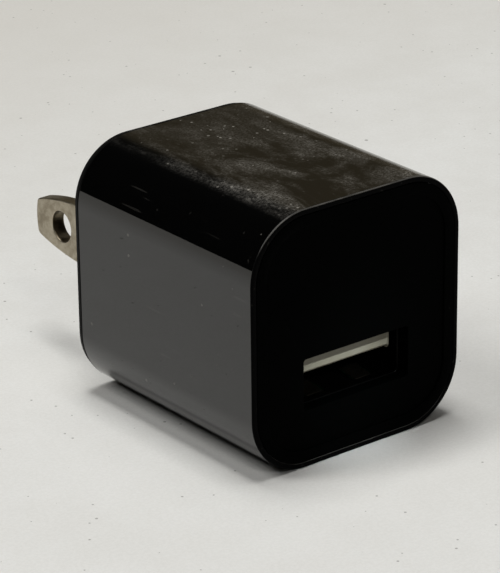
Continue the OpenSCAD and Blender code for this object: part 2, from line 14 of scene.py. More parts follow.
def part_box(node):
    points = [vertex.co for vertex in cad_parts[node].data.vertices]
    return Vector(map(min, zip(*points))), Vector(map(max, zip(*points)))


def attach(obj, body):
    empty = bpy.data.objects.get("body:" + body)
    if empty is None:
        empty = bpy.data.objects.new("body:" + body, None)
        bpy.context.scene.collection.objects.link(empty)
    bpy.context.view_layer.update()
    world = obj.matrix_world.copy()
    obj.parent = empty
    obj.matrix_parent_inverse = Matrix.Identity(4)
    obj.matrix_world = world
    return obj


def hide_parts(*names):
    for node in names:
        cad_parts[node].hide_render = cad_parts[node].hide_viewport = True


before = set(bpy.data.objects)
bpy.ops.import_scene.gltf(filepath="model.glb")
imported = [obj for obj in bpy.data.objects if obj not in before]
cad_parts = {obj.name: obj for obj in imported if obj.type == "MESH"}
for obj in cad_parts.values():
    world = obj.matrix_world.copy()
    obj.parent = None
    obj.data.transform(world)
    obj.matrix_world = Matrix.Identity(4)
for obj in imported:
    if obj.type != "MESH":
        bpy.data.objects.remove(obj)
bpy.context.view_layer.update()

MM = 0.001


# ---- Sizes, from the frame where it has them ----

def box(node):
    """Lowest and highest corner of a CAD node, in millimetres."""
    low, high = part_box(node)
    return low / MM, high / MM


SLEEVE = box("sleeve")
CAP = box("front_cap")
REAR = box("rear_cap")
BLADE = box("left_blade")
SHELL = box("usb_shell")
INSULATOR = box("usb_insulator")

BODY_W = SLEEVE[1].x - SLEEVE[0].x
BODY_H = SLEEVE[1].z - SLEEVE[0].z
FRONT_Y = SLEEVE[0].y
SLEEVE_REAR = SLEEVE[1].y
FLOOR_Z = SLEEVE[0].z
CORNER_R = 6.4
WALL = 1.8
EDGE_R = 0.2
FIT = 0.05

LIP = CAP[0].x - SLEEVE[0].x - FIT
CAP_T = 1.5
CAP_END = CAP[1].y
SKIRT_T = 1.0
RIM_W = 1.8
PANEL_RECESS = 0.15
PANEL_Y = FRONT_Y + PANEL_RECESS
PORT_W = 12.8
PORT_H = 5.2
PORT_R = 0.3

BOARD_T = 1.0
RAIL_T = 0.55
RAIL_X = 9.2
RAIL_START = -10.3
RAIL_END = -2.3

CAVITY_REAR = -1.7
CARRIER = box("blade_carrier")
POST_Z = 3.0
POST_R = 0.8
STAKE_R = 1.3

BLADE_X = -(BLADE[0].x + BLADE[1].x) / 2
BLADE_T = BLADE[1].x - BLADE[0].x
BLADE_TIP = BLADE[1].y
BLADE_W = 6.35
BLADE_TIP_W = 3.6
BLADE_HOLE_R = 1.6
BLADE_HOLE_Y = 10.2
TAPER_START = 6.0
TIP_ARC_R = 8.0
SHOULDER_L = 1.2
TAB_W = 4.0

SHELL_W = SHELL[1].x - SHELL[0].x
SHELL_H = 5.72
SHELL_Z = SHELL[1].z - SHELL_H / 2
SHEET = 0.3

TONGUE_W = 11.1
TONGUE_BOTTOM = SHELL_Z + 0.02
TONGUE_T = 1.84
BLOCK_L = 3.6
CONTACT_XS = {
    "ground_contact": -3.5,
    "data_plus_contact": -1.0,
    "data_minus_contact": 1.0,
    "power_contact": 3.5,
}
CONTACT_W = 1.0
CONTACT_T = 0.2
CONTACT_BEAD_R = 0.2
GROOVE_W = 1.4
GROOVE_DEPTH = 1.1
FINGER_X = 3.0
FINGER_W = 2.0
FINGER_T = 0.24
FINGER_BEAD_R = 0.14

CORNER_STEPS = 20
ARC_STEPS = 6


# ---- Outlines ----

def arc(centre, radius, start, end, steps=ARC_STEPS):
    """Points along an arc in a plane, its angles in degrees."""
    turns = [math.radians(start + (end - start) * i / steps) for i in range(steps + 1)]
    return [(centre[0] + radius * math.cos(a), centre[1] + radius * math.sin(a)) for a in turns]


def rounded_rect(width, height, radius, steps=CORNER_STEPS):
    """A rounded rectangle round the origin, anticlockwise from the top end of its right side."""
    points = []
    for quarter, (side, top) in enumerate(((1, 1), (-1, 1), (-1, -1), (1, -1))):
        centre = (side * (width / 2 - radius), top * (height / 2 - radius))
        points += arc(centre, radius, 90 * quarter, 90 * quarter + 90, steps)
    return points


def circle(centre, radius, steps=48):
    """Points round a circle, the first not repeated at the end."""
    return arc(centre, radius, 0, 360 - 360 / steps, steps - 1)


def shrink(points, distance):
    """Moves each side of an anticlockwise outline inwards by a distance."""
    moved = []
    for before, here, after in zip([points[-1]] + points[:-1], points, points[1:] + [points[0]]):
        a = (Vector(here) - Vector(before)).normalized()
        b = (Vector(after) - Vector(here)).normalized()
        inwards = Vector((-a.y - b.y, a.x + b.x)) / (1 + a.dot(b))
        moved.append(tuple(Vector(here) + inwards * distance))
    return moved


def softened(points, corners, reach, steps=5):
    """Replaces the named corners of an outline with curves that start and end a short way off."""
    result = []
    for i, here in enumerate(points):
        if i not in corners:
            result.append(here)
            continue
        corner = Vector(here)
        start = corner + (Vector(points[i - 1]) - corner).normalized() * reach
        end = corner + (Vector(points[(i + 1) % len(points)]) - corner).normalized() * reach
        for k in range(steps + 1):
            t = k / steps
            result.append(tuple(start * (1 - t) ** 2 + corner * 2 * t * (1 - t) + end * t * t))
    return result


def smooth_path(points, per_span=8):
    """A smooth curve through a few points."""
    ends = [points[0]] + list(points) + [points[-1]]
    path = []
    for i in range(len(points) - 1):
        a, b, c, d = (Vector(p) for p in ends[i:i + 4])
        for k in range(per_span):
            t = k / per_span
            path.append((2 * b + (c - a) * t + (2 * a - 5 * b + 4 * c - d) * t * t
                         + (3 * b - a - 3 * c + d) * t ** 3) / 2)
    return path + [Vector(points[-1])]


# ---- Meshes ----

class Shape:
    """Loops of points in millimetres and the faces between them."""

    def __init__(self):
        self.points = []
        self.faces = []

    def loop(self, points):
        """Adds points, and returns their numbers in order."""
        first = len(self.points)
        self.points += [Vector(p) * MM for p in points]
        return list(range(first, len(self.points)))

    def bridge(self, loops, closed=False):
        """Joins loops of equal length one after another, and the last to the first if closed."""
        followers = loops[1:] + (loops[:1] if closed else [])
        for low, high in zip(loops, followers):
            for i in range(len(low)):
                j = (i + 1) % len(low)
                self.faces.append((low[i], low[j], high[j], high[i]))

    def fill(self, *loops):
        """Fills a flat area: the first loop is its edge and the others are holes."""
        index = [i for loop in loops for i in loop]
        for triangle in tessellate_polygon([[self.points[i] for i in loop] for loop in loops]):
            self.faces.append(tuple(index[k] for k in triangle))

    def block(self, low, high):
        """A closed box between two corners."""
        corners = [(low[0], low[1]), (high[0], low[1]), (high[0], high[1]), (low[0], high[1])]
        rings = [self.loop([(x, y, z) for x, y in corners]) for z in (low[2], high[2])]
        self.bridge(rings)
        self.faces += [tuple(rings[0]), tuple(rings[1])]

    def build(self, name, sharp=35):
        """Makes the object, its faces turned outwards and its edges sharp above an angle in degrees."""
        mesh = bpy.data.meshes.new(name)
        mesh.from_pydata(self.points, [], self.faces)
        work = bmesh.new()
        work.from_mesh(mesh)
        bmesh.ops.remove_doubles(work, verts=work.verts, dist=1e-7)
        bmesh.ops.recalc_face_normals(work, faces=work.faces)
        work.to_mesh(mesh)
        work.free()
        mesh.shade_smooth()
        mesh.set_sharp_from_angle(angle=math.radians(sharp))
        piece = bpy.data.objects.new(name, mesh)
        bpy.context.collection.objects.link(piece)
        even = piece.modifiers.new("even_shading", "WEIGHTED_NORMAL")
        even.keep_sharp = True
        return piece


def plate(shape, outline, holes, low, high, edge_r, place, steps=4):
    """A flat plate with rounded edges and round holes, each a centre and a radius.

    Place turns two coordinates in the outline's plane and a height into a point.
    """
    bottom = [(edge_r - edge_r * math.sin(a), low + edge_r - edge_r * math.cos(a))
              for a in (math.radians(90 * i / steps) for i in range(steps + 1))]
    sections = bottom + [(inset, low + high - height) for inset, height in reversed(bottom)]
    edges = [shape.loop([place(u, v, h) for u, v in shrink(outline, inset)]) for inset, h in sections]
    bores = [[shape.loop([place(u, v, h) for u, v in circle(centre, radius + inset)])
              for inset, h in sections] for centre, radius in holes]
    for rings in [edges] + bores:
        shape.bridge(rings)
    for end in (0, -1):
        shape.fill(edges[end], *[rings[end] for rings in bores])


def cut(piece, tool_shape, operation="DIFFERENCE"):
    """Cuts one closed shape out of a piece, or joins it on, and leaves a plain mesh."""
    tool = tool_shape.build("cutter")
    modifier = piece.modifiers.new("cut", "BOOLEAN")
    modifier.operation = operation
    modifier.solver = "EXACT"
    modifier.object = tool
    even = piece.modifiers["even_shading"]
    even.show_viewport = False
    mesh = bpy.data.meshes.new_from_object(piece.evaluated_get(bpy.context.evaluated_depsgraph_get()))
    piece.modifiers.remove(modifier)
    even.show_viewport = True
    piece.data = mesh
    mesh.shade_smooth()
    mesh.set_sharp_from_angle(angle=math.radians(35))
    bpy.data.objects.remove(tool)


def add(piece, body, slot, *nodes):
    """Gives a new piece its finish, parents it to the body it rides on, and hides the CAD nodes it stands
    for.
    """
    piece.data.materials.clear()
    piece.data.materials.append(FINISHES[slot])
    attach(piece, body)
    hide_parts(*nodes)


# ---- Finishes ----

class Surface:
    """A node material in the making, with short calls for the nodes that the finishes share."""

    def __init__(self, name, **settings):
        self.material = bpy.data.materials.new(name)
        self.material.use_nodes = True
        self.tree = self.material.node_tree
        self.tree.nodes.clear()
        self.shader = self.node("ShaderNodeBsdfPrincipled")
        output = self.node("ShaderNodeOutputMaterial")
        self.link(self.shader.outputs["BSDF"], output.inputs["Surface"])
        coordinates = self.node("ShaderNodeTexCoord")
        self.place = coordinates.outputs["Object"]
        self.normal = coordinates.outputs["Normal"]
        for key, value in settings.items():
            self.shader.inputs[key.replace("_", " ")].default_value = value

    def node(self, kind, **settings):
        node = self.tree.nodes.new(kind)
        for key, value in settings.items():
            setattr(node, key, value)
        return node

    def link(self, source, target):
        if isinstance(source, bpy.types.NodeSocket):
            self.tree.links.new(source, target)
        else:
            target.default_value = source

    def math(self, operation, *values):
        node = self.node("ShaderNodeMath", operation=operation)
        for value, socket in zip(values, node.inputs):
            self.link(value, socket)
        return node.outputs[0]

    def times(self, first, *others):
        """The product of several values."""
        for value in others:
            first = self.math("MULTIPLY", first, value)
        return first

    def most(self, first, *others):
        """The largest of several values."""
        for value in others:
            first = self.math("MAXIMUM", first, value)
        return first

    def part(self, vector, axis):
        """One coordinate of a vector."""
        node = self.node("ShaderNodeSeparateXYZ")
        self.link(vector, node.inputs[0])
        return node.outputs[axis]

    def stretched(self, scale, turn=(0, 0, 0)):
        """Object coordinates turned and scaled, for grain that runs one way."""
        node = self.node("ShaderNodeMapping")
        self.link(self.place, node.inputs["Vector"])
        node.inputs["Rotation"].default_value = [math.radians(a) for a in turn]
        node.inputs["Scale"].default_value = scale
        return node.outputs[0]

    def noise(self, size, detail=4.0, roughness=0.55, distortion=0.0, place=None):
        """Noise from 0 to 1 whose patches are about a size across, in millimetres."""
        node = self.node("ShaderNodeTexNoise")
        self.link(place or self.place, node.inputs["Vector"])
        node.inputs["Scale"].default_value = 1 / (size * MM)
        node.inputs["Detail"].default_value = detail
        node.inputs["Roughness"].default_value = roughness
        node.inputs["Distortion"].default_value = distortion
        return node.outputs["Fac"]

    def band(self, value, low, high, from_value=0.0, to_value=1.0):
        """Maps a value smoothly from one range to another, and holds it at the ends."""
        node = self.node("ShaderNodeMapRange", interpolation_type="SMOOTHSTEP")
        for key, number in (("Value", value), ("From Min", low), ("From Max", high),
                            ("To Min", from_value), ("To Max", to_value)):
            self.link(number, node.inputs[key])
        return node.outputs[0]

    def specks(self, spacing, size, share):
        """Round dots up to a size, one in each cell of a spacing, of which only a share is kept."""
        node = self.node("ShaderNodeTexVoronoi")
        self.link(self.place, node.inputs["Vector"])
        node.inputs["Scale"].default_value = 1 / (spacing * MM)
        split = self.node("ShaderNodeSeparateColor")
        self.link(node.outputs["Color"], split.inputs[0])
        reach = self.times(split.outputs[1], size / spacing)
        near = self.math("LESS_THAN", node.outputs["Distance"], reach)
        return self.times(near, self.math("LESS_THAN", split.outputs[0], share))

    def mix(self, factor, first, second):
        """A blend of two colours, from the first at 0 to the second at 1."""
        node = self.node("ShaderNodeMix", data_type="RGBA")
        for value, socket in ((factor, node.inputs[0]), (first, node.inputs[6]), (second, node.inputs[7])):
            if isinstance(value, tuple):
                value = (*value, 1.0)
            self.link(value, socket)
        return node.outputs[2]

    def upward(self):
        """How far a surface faces up, from 0 on the sides to 1 on the top."""
        return self.part(self.normal, "Z")

    def sideways(self):
        """How far a surface faces left or right, from 0 to 1."""
        return self.math("ABSOLUTE", self.part(self.normal, "X"))

    def colour(self, value):
        self.link((*value, 1.0) if isinstance(value, tuple) else value, self.shader.inputs["Base Color"])

    def roughness(self, value):
        self.link(value, self.shader.inputs["Roughness"])

    def specular(self, value):
        self.link(value, self.shader.inputs["Specular IOR Level"])

    def bump(self, height, depth, strength=1.0):
        """Relief of a depth in millimetres."""
        node = self.node("ShaderNodeBump")
        node.inputs["Strength"].default_value = strength
        node.inputs["Distance"].default_value = depth * MM
        self.link(height, node.inputs["Height"])
        self.link(node.outputs[0], self.shader.inputs["Normal"])


def casing_gloss():
    """Polished black plastic: dust and wiped smears on top, specks, a front edge painted pale where it faces
    up (a painted highlight, in patches like wear) and dull ends.
    """
    s = Surface("casing_gloss", IOR=1.57)
    depth = s.part(s.place, "Y")
    upward = s.upward()

    def near_front(start, full):
        """Goes from 0 at one distance behind the front to 1 at another, both in edge radii."""
        return s.band(depth, (FRONT_Y + start * EDGE_R) * MM, (FRONT_Y + full * EDGE_R) * MM)

    # Dust lies in wiped smears on the top, and thicker towards the front
    along_y = s.stretched((1.0, 0.4, 1.0), (0, 0, 6))
    smears = s.band(s.noise(5.5, detail=10, roughness=0.72, distortion=0.6, place=along_y), 0.42, 0.62)
    streaks = s.band(s.noise(1.3, detail=7, roughness=0.75, place=along_y), 0.42, 0.66, 0.4, 1.0)
    grains = s.band(s.noise(0.25, detail=5, roughness=0.8), 0.4, 0.62, 0.1, 1.0)
    top = s.band(upward, 0.9, 0.998)
    dusty_from = FRONT_Y + 8
    settled = s.band(depth, SLEEVE_REAR * MM, dusty_from * MM, 0.35, 1.0)
    dust = s.times(smears, streaks, grains, top, settled)
    motes = s.times(s.specks(0.6, 0.16, 0.3), smears, top)
    lint = s.specks(2.2, 0.16, 0.5)

    # Painted highlight: the front edge is coloured pale where it faces up, broken into patches like wear
    over = s.band(upward, 0.4, 0.7)
    patches = s.band(s.noise(1.5, detail=5), 0.3, 0.6, 0.45, 1.0)
    worn = s.times(near_front(1, 0.5), near_front(0.04, 0.2), over, patches)

    slanting = s.stretched((1.0, 0.07, 1.0), (25, 0, 40))
    scratches = s.band(s.noise(0.6, detail=1, place=slanting), 0.71, 0.74)
    rubs = s.band(s.noise(1.2, detail=3, roughness=0.6), 0.68, 0.74)
    marks = s.most(s.times(dust, 0.3), s.times(lint, 0.14), s.times(s.most(scratches, rubs), 0.022),
                   s.times(motes, 0.45), s.times(worn, 0.15))
    s.colour(s.mix(marks, (0.0009, 0.0009, 0.0009), (0.55, 0.52, 0.46)))

    # Gloss: smudged by hands, hazy on top, and dull at the front lip and at the rear
    handling = s.band(s.noise(7, detail=5, roughness=0.7), 0.4, 0.75, 0.015, 0.05)
    haze = s.band(upward, 0.7, 0.98, 0.0, 0.17)
    front = s.times(near_front(1.5, 0.8), over)
    below = s.times(near_front(1.2, 0.7), s.math("SUBTRACT", 1.0, over))
    rear = s.band(depth, (SLEEVE_REAR - 2 * EDGE_R) * MM, (SLEEVE_REAR - 1.5 * EDGE_R) * MM)
    dull = s.most(near_front(0.16, 0.02), below, rear)
    s.roughness(s.most(handling, haze, s.times(dust, 0.55), s.times(rubs, 0.3), s.times(front, 0.42),
                       s.times(dull, 0.6)))
    s.specular(s.math("SUBTRACT", 0.5, s.most(s.times(front, 0.38), s.times(dull, 0.48))))
    s.bump(s.noise(2.2, detail=2), 0.004)
    return s.material


def casing_matte():
    """Fine spark-textured black plastic with a few grains of dust."""
    s = Surface("casing_matte", IOR=1.45, Specular_IOR_Level=0.012)
    grain = s.noise(0.16, detail=3, roughness=0.6)
    cloud = s.noise(6, detail=4)
    lint = s.specks(2.2, 0.16, 0.5)
    shade = s.mix(cloud, (0.0001, 0.0002, 0.00015), (0.0003, 0.00045, 0.0004))
    s.colour(s.mix(s.times(lint, 0.35), shade, (0.14, 0.14, 0.12)))
    s.roughness(s.band(grain, 0.3, 0.7, 0.5, 0.68))
    s.bump(grain, 0.012, 0.7)
    return s.material


def casing_rear():
    """Satin black plastic, rubbed smoother in patches by the outlet."""
    s = Surface("casing_rear", IOR=1.5, Specular_IOR_Level=0.06)
    rubbed = s.noise(4, detail=5, roughness=0.65)
    grain = s.noise(0.25, detail=3)
    s.colour(s.mix(rubbed, (0.003, 0.003, 0.0031), (0.0075, 0.0073, 0.0068)))
    s.roughness(s.band(rubbed, 0.35, 0.7, 0.5, 0.3))
    s.bump(grain, 0.008, 0.6)
    return s.material


def metal(name, dark, bright, rough_low, rough_high, patch=2.5, brush=(1.0, 0.08, 1.0), sheared_edge_shade=None):
    """Drawn or plated metal: patchy tarnish, a brushed grain and small pits.

    Where a sheared edge shade is given, faces that don't look left or right take it:
    painted shade on edges and hole walls, also standing for duller sheared metal.
    """
    s = Surface(name, Metallic=1.0)
    tarnish = s.band(s.noise(patch, detail=6, roughness=0.7, distortion=0.4), 0.35, 0.7)
    lines = s.noise(0.12, detail=3, place=s.stretched(brush))
    pits = s.specks(0.5, 0.07, 0.12)
    worn = s.times(s.most(tarnish, pits), 0.85)
    skin = s.mix(worn, bright, dark)
    # Painted shade: faces that don't look left or right take the darker colour
    if sheared_edge_shade:
        skin = s.mix(s.band(s.sideways(), 0.8, 0.5), skin, sheared_edge_shade)
    s.colour(skin)
    uneven = s.math("ADD", s.times(tarnish, 0.6), s.times(lines, 0.4))
    s.roughness(s.band(uneven, 0.1, 0.9, rough_low, rough_high))
    s.bump(lines, 0.004, 0.5)
    return s.material


def moulded(name, base, stain, roughness=0.45, depth=0.006, patch=3.0):
    """Plain moulded or dipped material, a little uneven in colour and gloss."""
    s = Surface(name, IOR=1.5)
    cloud = s.noise(patch, detail=5, roughness=0.6)
    grain = s.noise(0.2, detail=3)
    spread = 0.1
    s.colour(s.mix(s.band(cloud, 0.3, 0.75), base, stain))
    s.roughness(s.band(grain, 0.25, 0.75, roughness - spread, roughness + spread))
    s.bump(grain, depth, 0.6)
    return s.material


def board(name, mask, copper_tone):
    """Laminate with tracks that show through its lacquer as slightly raised, lighter lines."""
    s = Surface(name, IOR=1.5)
    cells = s.node("ShaderNodeTexVoronoi", feature="DISTANCE_TO_EDGE", distance="MANHATTAN")
    s.link(s.place, cells.inputs["Vector"])
    track_spacing = 3.2
    cells.inputs["Scale"].default_value = 1 / (track_spacing * MM)
    tracks = s.band(cells.outputs["Distance"], 0.05, 0.09, 1.0, 0.0)
    weave = s.noise(0.3, detail=2, place=s.stretched((1.0, 1.0, 0.3)))
    s.colour(s.mix(s.times(tracks, 0.75), mask, copper_tone))
    s.roughness(s.band(weave, 0.3, 0.7, 0.32, 0.5))
    s.bump(s.math("ADD", tracks, s.times(weave, 0.3)), 0.03, 0.7)
    return s.material


# The wave texture's scale that gives one band in each unit
WAVE_SCALE = 0.314


def wound(name, base, shade, turn_size):
    """Wire wound side by side: one fine ridge for each turn, with painted shade in the grooves between
    turns.
    """
    s = Surface(name, IOR=1.5, Metallic=0.4)
    wave = s.node("ShaderNodeTexWave", wave_type="BANDS", bands_direction="Y")
    s.link(s.place, wave.inputs["Vector"])
    wave.inputs["Scale"].default_value = WAVE_SCALE / (turn_size * MM)
    wave.inputs["Distortion"].default_value = 0.15
    groove = wave.outputs["Fac"]
    # Painted shade: the grooves between turns take the darker colour
    s.colour(s.mix(groove, shade, base))
    s.roughness(s.band(s.noise(1.2), 0.3, 0.7, 0.25, 0.42))
    s.bump(groove, turn_size / 3)
    return s.material


FINISHES = {
    "casing_gloss": casing_gloss(),
    "casing_matte": casing_matte(),
    "casing_rear": casing_rear(),
    # The blades' edges and hole wall are painted darker: painted shade
    "blade_plating": metal("blade_plating", (0.28, 0.238, 0.17), (0.44, 0.393, 0.307), 0.3, 0.55, 1.6,
                           sheared_edge_shade=(0.17, 0.14, 0.09)),
    "spring_bronze": metal("spring_bronze", (0.34, 0.2, 0.09), (0.72, 0.5, 0.26), 0.22, 0.42),
    # Painted shade: the socket's shell is coloured nearly black, standing for the shade inside the port
    "shell_steel": metal("shell_steel", (0.0015, 0.0015, 0.0014), (0.0045, 0.0044, 0.0041), 0.35, 0.55, 3.5),
    # Painted shade: the grip fingers are coloured nearly black, standing for the shade inside the port
    "finger_steel": metal("finger_steel", (0.006, 0.005, 0.0035), (0.02, 0.017, 0.012), 0.35, 0.55),
    "contact_gold": metal("contact_gold", (0.55, 0.36, 0.13), (0.87, 0.64, 0.26), 0.14, 0.32, 1.5),
    "tinned_pins": metal("tinned_pins", (0.42, 0.41, 0.39), (0.7, 0.69, 0.66), 0.25, 0.45, 1.2),
    "socket_white": moulded("socket_white", (0.195, 0.183, 0.14), (0.165, 0.152, 0.108), 0.5, 0.006, 2.2),
    "moulded_black": moulded("moulded_black", (0.012, 0.012, 0.012), (0.028, 0.027, 0.025), 0.5, 0.012),
    "sheet_cream": moulded("sheet_cream", (0.62, 0.55, 0.33), (0.5, 0.42, 0.22), 0.42, 0.004, 5),
    "ferrite": moulded("ferrite", (0.03, 0.03, 0.032), (0.07, 0.066, 0.062), 0.62, 0.02, 1.5),
    "copper_wire": wound("copper_wire", (0.55, 0.2, 0.07), (0.12, 0.03, 0.01), 0.18),
    "insulated_wire": wound("insulated_wire", (0.65, 0.47, 0.06), (0.2, 0.12, 0.01), 0.42),
    "tape_yellow": moulded("tape_yellow", (0.72, 0.5, 0.05), (0.6, 0.38, 0.03), 0.3, 0.004, 4),
    "can_blue": moulded("can_blue", (0.015, 0.022, 0.09), (0.03, 0.04, 0.13), 0.32, 0.004),
    "can_black": moulded("can_black", (0.012, 0.014, 0.017), (0.028, 0.03, 0.034), 0.3, 0.004),
    "resistor_green": moulded("resistor_green", (0.06, 0.17, 0.08), (0.03, 0.1, 0.05), 0.5, 0.02, 1.2),
    "disc_blue": moulded("disc_blue", (0.02, 0.12, 0.36), (0.015, 0.08, 0.26), 0.34, 0.015, 1.6),
    "chip_tan": moulded("chip_tan", (0.35, 0.24, 0.13), (0.24, 0.16, 0.09), 0.4, 0.006, 0.8),
    "board_green": board("board_green", (0.012, 0.085, 0.035), (0.035, 0.16, 0.06)),
    "board_tan": board("board_tan", (0.26, 0.17, 0.07), (0.4, 0.25, 0.1)),
}

# CAD nodes that keep their own shape
KEPT_NODES = {
    "casing_rear": ["blade_carrier"],
    "spring_bronze": ["left_mains_spring", "right_mains_spring"],
    "contact_gold": ["usb_contact_tails"],
    "board_green": ["usb_board"],
    "board_tan": ["power_board"],
    "tinned_pins": ["board_link_pins", "transformer_pins"],
    "moulded_black": ["board_link_spacer", "transformer_bobbin", "bridge_rectifier", "switching_transistor",
                      "controller_chip", "output_diode", "chip_resistors"],
    "sheet_cream": ["insulation_sheet"],
    "ferrite": ["transformer_core_front", "transformer_core_rear", "choke_core"],
    "copper_wire": ["transformer_primary", "choke_winding"],
    "insulated_wire": ["transformer_secondary"],
    "tape_yellow": ["transformer_tape"],
    "can_blue": ["left_input_capacitor", "right_input_capacitor"],
    "can_black": ["output_capacitor"],
    "resistor_green": ["fusible_resistor"],
    "disc_blue": ["safety_capacitor"],
    "chip_tan": ["chip_capacitors"],
}
for slot, nodes in KEPT_NODES.items():
    for node in nodes:
        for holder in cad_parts[node].material_slots:
            holder.material = FINISHES[slot]


# ---- Casing ----

def body_loop(shape, inset, y):
    """The body's outline, drawn in by an inset, as a loop at a depth."""
    outline = rounded_rect(BODY_W - 2 * inset, BODY_H - 2 * inset, CORNER_R - inset)
    return shape.loop([(x, y, z) for x, z in outline])


def sleeve():
    """The open tube, with a pair of rails on each side for each board.

    Its profile runs over the lip and the front edge, along the outside and back inside.
    """
    shape = Shape()
    nick = 0.07
    rail_root = 0.02
    profile = (
        [(LIP, FRONT_Y + CAP_T)]
        + arc((LIP - nick, FRONT_Y + nick), nick, 0, -90, 3)
        + arc((EDGE_R, FRONT_Y + EDGE_R), EDGE_R, -90, -180)
        + arc((EDGE_R, SLEEVE_REAR - EDGE_R), EDGE_R, 180, 90)
        + [(WALL, SLEEVE_REAR), (WALL, FRONT_Y + CAP_T)]
    )
    shape.bridge([body_loop(shape, inset, y) for inset, y in profile], closed=True)
    board_low = box("power_board")[0].z
    rail_outer = BODY_W / 2 - WALL + rail_root
    for side in (-1, 1):
        for top in (-1, 1):
            for z in (board_low - FIT - RAIL_T, board_low + BOARD_T + FIT):
                across = sorted((side * RAIL_X, side * rail_outer))
                heights = sorted((top * z, top * (z + RAIL_T)))
                shape.block((across[0], RAIL_START, heights[0]), (across[1], RAIL_END, heights[1]))
    return shape.build("casing_sleeve")


def front_cap():
    """The USB face: a raised rim, a panel behind it with the socket's opening, and a skirt."""
    shape = Shape()
    nick = 0.08
    side = LIP + FIT
    profile = (
        [(RIM_W, PANEL_Y)]
        + arc((RIM_W - nick, FRONT_Y + nick), nick, 0, -90, 3)
        + arc((side + nick, FRONT_Y + nick), nick, -90, -180, 3)
        + [(side, FRONT_Y + CAP_T - FIT), (WALL + FIT, FRONT_Y + CAP_T - FIT), (WALL + FIT, CAP_END),
           (WALL + SKIRT_T, CAP_END), (WALL + SKIRT_T, FRONT_Y + CAP_T)]
    )
    rings = [body_loop(shape, inset, y) for inset, y in profile]
    shape.bridge(rings)
    edge = 0.05
    port = []
    for grow, y in arc((edge, PANEL_Y + edge), edge, 270, 180, 4) + [(0, FRONT_Y + CAP_T)]:
        outline = rounded_rect(PORT_W + 2 * grow, PORT_H + 2 * grow, PORT_R + grow, 6)
        port.append(shape.loop([(x, y, z + SHELL_Z) for x, z in outline]))
    shape.bridge(port)
    shape.fill(rings[0], port[0])
    shape.fill(rings[-1], port[-1])
    return shape.build("usb_face")


def rear_cap():
    """The plug face: a thin edge behind the sleeve, a plate inside it, blade slots and two headed posts."""
    shape = Shape()
    nick = 0.15
    inset = 0.15
    back = REAR[1].y
    profile = (
        arc((inset + nick, back - nick), nick, 90, 180, 4)
        + [(inset, SLEEVE_REAR + FIT), (WALL + FIT, SLEEVE_REAR + FIT), (WALL + FIT, CAVITY_REAR)]
    )
    rings = [body_loop(shape, x, y) for x, y in profile]
    shape.bridge(rings)
    slots = []
    slot_r = 0.1
    edge = 0.1
    for side in (-1, 1):
        slot = []
        for grow, y in arc((edge, back - edge), edge, 90, 180, 3) + [(0, CAVITY_REAR)]:
            width = BLADE_T + 2 * FIT + 2 * grow
            outline = rounded_rect(width, BLADE_W + 2 * FIT + 2 * grow, slot_r + grow, 4)
            slot.append(shape.loop([(x + side * BLADE_X, y, z) for x, z in outline]))
        shape.bridge(slot)
        slots.append(slot)
    posts = []
    head_from = CARRIER[0].y - FIT
    bevel_l = 0.15
    bevel_r = 0.25
    for top in (-1, 1):
        sections = ((POST_R, CAVITY_REAR), (POST_R, head_from), (STAKE_R, head_from),
                    (STAKE_R, REAR[0].y + bevel_l), (STAKE_R - bevel_r, REAR[0].y))
        post = []
        for radius, y in sections:
            post.append(shape.loop([(x, y, z) for x, z in circle((0, top * POST_Z), radius)]))
        shape.bridge(post)
        shape.fill(post[-1])
        posts.append(post[0])
    shape.fill(rings[0], *[slot[0] for slot in slots])
    shape.fill(rings[-1], *[slot[-1] for slot in slots], *posts)
    return shape.build("plug_face")


# ---- Blades ----

def blade(side, name):
    """A flat blade: long arcs narrow it towards a slightly domed tip, and it widens inside the body."""
    run = BLADE_TIP - TAPER_START
    drop = (BLADE_W - BLADE_TIP_W) / 2
    taper_r = (run * run + drop * drop) / (2 * drop)

    def half_width(y):
        return BLADE_W / 2 - taper_r + math.sqrt(taper_r ** 2 - (y - TAPER_START) ** 2)

    def tip_y(z):
        return BLADE_TIP - TIP_ARC_R + math.sqrt(TIP_ARC_R ** 2 - z * z)

    corner_setback = 0.21
    corner_reach = 0.4
    edge_r = 0.16
    corner_y = BLADE_TIP - corner_setback
    corner_z = half_width(corner_y)
    shoulder = BLADE[1].z
    inner = CAVITY_REAR - SHOULDER_L
    half = [(BLADE[0].y, TAB_W / 2), (inner, TAB_W / 2), (inner, shoulder), (CAVITY_REAR, shoulder),
            (CAVITY_REAR, BLADE_W / 2), (TAPER_START, BLADE_W / 2)]
    steps = 14
    half += [(y, half_width(y)) for y in
             (TAPER_START + (corner_y - TAPER_START) * i / steps for i in range(1, steps))]
    half.append((tip_y(corner_z), corner_z))
    corner = len(half) - 1
    half = softened(half + [(tip_y(corner_z / 2), corner_z / 2)], [corner], corner_reach)
    half.append((tip_y(corner_z / 4), corner_z / 4))
    outline = [(y, -z) for y, z in half] + [(BLADE_TIP, 0)] + list(reversed(half))
    shape = Shape()
    middle = side * BLADE_X
    plate(shape, outline, [((BLADE_HOLE_Y, 0), BLADE_HOLE_R)], middle - BLADE_T / 2, middle + BLADE_T / 2,
          edge_r, lambda y, z, x: (x, y, z))
    return shape.build(name)


# ---- USB socket ----

